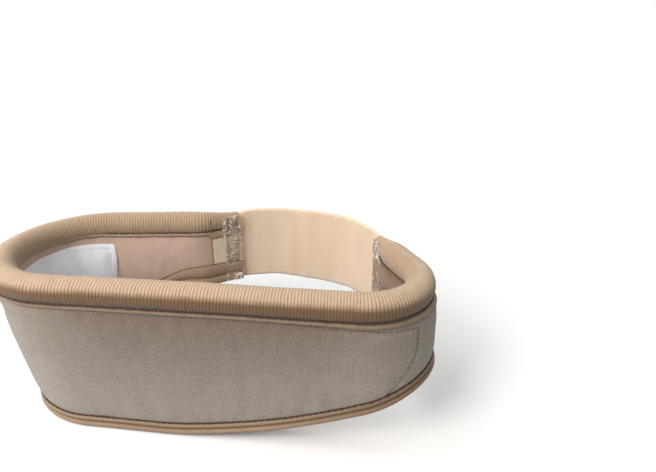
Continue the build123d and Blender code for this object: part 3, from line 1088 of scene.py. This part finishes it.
def bartack(name, node, free_end, inwards, body, seed, shaded_below=0):
    """Messy zigzag thread over a tab's free end, on both faces; on the inner face, threads below a given
    height are darker, as painted shade.
    """
    random.seed(seed)
    reach = sorted((free_end + inwards * 0.3, free_end + inwards * 8.8))
    runs = []
    for side in (1, -1):
        for column in range(TACK_COLUMNS):
            middle = 0.9 + column * TACK_PITCH
            z = low_at(free_end + inwards * middle) + 0.8
            # threads on the inner face below the given height take the darker thread as painted shade
            shaded_threads, clean = [], []
            flip = 1
            while z < TACK_TOP:
                s = free_end + inwards * (middle + flip * random.uniform(0.5, 1.2))
                spot = place(s, z, side * (over_layers(s, z) + random.uniform(-0.05, 0.25)))
                (shaded_threads if side < 0 and z < shaded_below else clean).append(spot)
                z += random.uniform(0.35, 0.85)
                flip = -flip
            runs.append((clean, random.uniform(0.2, 0.27), 1 if column % 3 == 1 else 0))
            if shaded_threads:
                runs.append((shaded_threads, 0.2, 1))
        for _ in range(STRAY_THREADS):
            s = free_end + inwards * random.uniform(0.6, 8.0)
            z = random.uniform(low_at(s) + 1.0, 57.0)
            path = []
            for _ in range(random.randint(4, 7)):
                path.append(place(s, z, side * (over_layers(s, z) + random.uniform(0.1, 0.4))))
                s = clamp(s + random.uniform(-0.9, 0.9), *reach)
                z = min(z + random.uniform(-0.8, 0.9), 58.2)
            finish = random.choice((0, 0, 1))
            # painted shade, as for the columns
            if side < 0 and z < shaded_below:
                finish = 1
            runs.append((path, random.uniform(0.17, 0.3), finish))
    finish_piece(threads(name, runs, [TACK, TACK_DARK]), [node], body=body)


bartack("left_bartack_threads", "left_bartack", 0.2, 1, "left_half", 11)
bartack("right_bartack_threads", "right_bartack", RIGHT_END - 0.2, -1, "right_half", 12, shaded_below=50)


def tab_stitches():
    """Two rows across the left tab: at its root and beside the bartack."""
    runs = []
    for side in (1, -1):
        for s, radius, finish in ((LEFT_TAB - 0.4, 0.17, 1), (8.9, 0.2, 0)):
            path = []
            for z in spread(low_at(s) + 0.8, STITCH_TOP, THREAD_STEP):
                bulge = 1.6 * fullness(s) * ease((z - 50) / 2) + 0.9 * ease((5 - z + low_at(s)) / 2)
                path.append(place(s + 0.15 * soft(z, 1, 1), z, side * (half_wall(s) + 0.3 + bulge)))
            runs.append((path, radius, finish))
    piece = threads("left_tab_stitches", runs, [TACK_DARK, OUTLINE_THREAD])
    finish_piece(piece, ["left_tab_stitching"], body="left_half")


tab_stitches()


# ---- elastic ----
ELASTIC_SEWN_IN = 2.0
ELASTIC_HALF = 0.5                     # half its thickness
ELASTIC_CORDS = 0.9                    # pitch of the cords woven along it
ELASTIC_ROWS = 40


def elastic():
    """The elastic web: a gently wavy, thin strip that is sewn into both tabs."""
    start, end = RIGHT_END - ELASTIC_SEWN_IN, LOOP_LENGTH + ELASTIC_SEWN_IN
    rows = []
    for s in spread(start, end, 0.5):
        middle = ease(min(s - start, end - s) / 9)
        dip = 0.3 * soft(s / 22, 3.0, 3.0)
        sag = 0.9 * ease((s - start - 20) / 12) * ease((end - 14 - s) / 20)
        low = ELASTIC_LOW + 0.6 + dip - sag
        high = ELASTIC_HIGH - 1.6 + 1.1 * middle + dip * 0.4
        front, back = [], []
        for z in even(low, high, ELASTIC_ROWS):
            edge = min(z - low, high - z)
            wave = 0.4 * math.sin(s / 5.1 + 0.8 * soft(s / 15, z / 12, 4.0))
            wave = middle * (wave + 0.35 * soft(s / 7, z / 30, 2.0))
            cord = 0.12 * abs(math.sin(math.pi * (z - low) / ELASTIC_CORDS))
            thick = ELASTIC_HALF * clamp(edge / 0.4 + 0.3)
            front.append((place(s, z, wave + thick + cord), (s - start, z), 0.5))
            back.append((place(s, z, wave - thick - cord), (s - start, z), 0.5))
        rows.append(front + back[::-1])
    piece = laid("elastic_web", rows, closed=True)
    finish_piece(piece, ["elastic_strap"], WEB)


elastic()


# ---- floor, light and backdrop ----
FLOOR_SIZE = 8
FLOOR_FADES = (0.10, 0.32)             # metres from the middle, where shaded floor turns to plain white
WHITE = (1, 1, 1, 1)
LIGHTS_AIM = Vector((0, 0, 0.03))


def white_floor():
    """Floor that keeps the shadow near the collar and is plain white further out."""
    bpy.ops.object.select_all(action="DESELECT")
    bpy.ops.mesh.primitive_plane_add(size=FLOOR_SIZE, location=(0, 0, 0))
    floor = bpy.context.object
    floor.name = "floor"
    material = bpy.data.materials.new("white_floor")
    material.use_nodes = True
    shader = material.node_tree.nodes["Principled BSDF"]
    n = Nodes(material.node_tree)
    looked_at = n.add("ShaderNodeLightPath").outputs["Is Camera Ray"]
    bounce, seen_white = (0.38, 0.38, 0.4, 1), (0.99, 0.99, 1.0, 1)
    n.feed(shader.inputs["Base Color"], n.mix(looked_at, bounce, seen_white))
    where = n.add("ShaderNodeTexCoord").outputs["Object"]
    distance = n.add("ShaderNodeVectorMath", {0: where}, operation="LENGTH").outputs["Value"]
    fade = {0: distance, 1: FLOOR_FADES[0], 2: FLOOR_FADES[1]}
    far = n.add("ShaderNodeMapRange", fade, interpolation_type="SMOOTHSTEP").outputs[0]
    glow = n.add("ShaderNodeEmission", {"Color": WHITE, "Strength": 1.0}).outputs[0]
    share = n.maths("MULTIPLY", far, looked_at)
    mixed = n.add("ShaderNodeMixShader", {0: share, 1: shader.outputs[0], 2: glow}).outputs[0]
    n.feed(material.node_tree.nodes["Material Output"].inputs[0], mixed)
    shader.inputs["Roughness"].default_value = 0.9
    shader.inputs["Specular IOR Level"].default_value = 0.1
    floor.data.materials.append(material)


def backdrop():
    """Soft light all round, which the camera sees as plain white."""
    world = bpy.data.worlds.new("world")
    scene.world = world
    world.use_nodes = True
    tree = world.node_tree
    n = Nodes(tree)
    background = tree.nodes["Background"]
    background.inputs[0].default_value = (0.97, 1.0, 0.97, 1)
    background.inputs[1].default_value = 0.55
    seen = n.add("ShaderNodeBackground", {"Color": WHITE, "Strength": 1.0})
    ray = n.add("ShaderNodeLightPath").outputs["Is Camera Ray"]
    mixed = n.add("ShaderNodeMixShader", {0: ray, 1: background.outputs[0], 2: seen.outputs[0]})
    n.feed(tree.nodes["World Output"].inputs[0], mixed.outputs[0])


def hang(name, light, spot):
    """Places a light and points it at the collar."""
    lamp = bpy.data.objects.new(name, light)
    scene.collection.objects.link(lamp)
    lamp.location = spot
    lamp.rotation_euler = (LIGHTS_AIM - spot).to_track_quat("-Z", "Y").to_euler()


def lights():
    overhead = bpy.data.lights.new("overhead", "SUN")
    overhead.angle = math.radians(45)
    overhead.energy = 1.1
    overhead.color = (1.0, 0.99, 0.975)
    hang("overhead", overhead, Vector((-0.5, 0.1, 1.0)))
    softbox = bpy.data.lights.new("softbox", "AREA")
    softbox.shape = "SQUARE"
    softbox.size = 0.3
    softbox.energy = 2.5
    softbox.color = (1.0, 0.94, 0.91)
    hang("softbox", softbox, Vector((-0.28, -0.32, 0.38)))


white_floor()
backdrop()
lights()
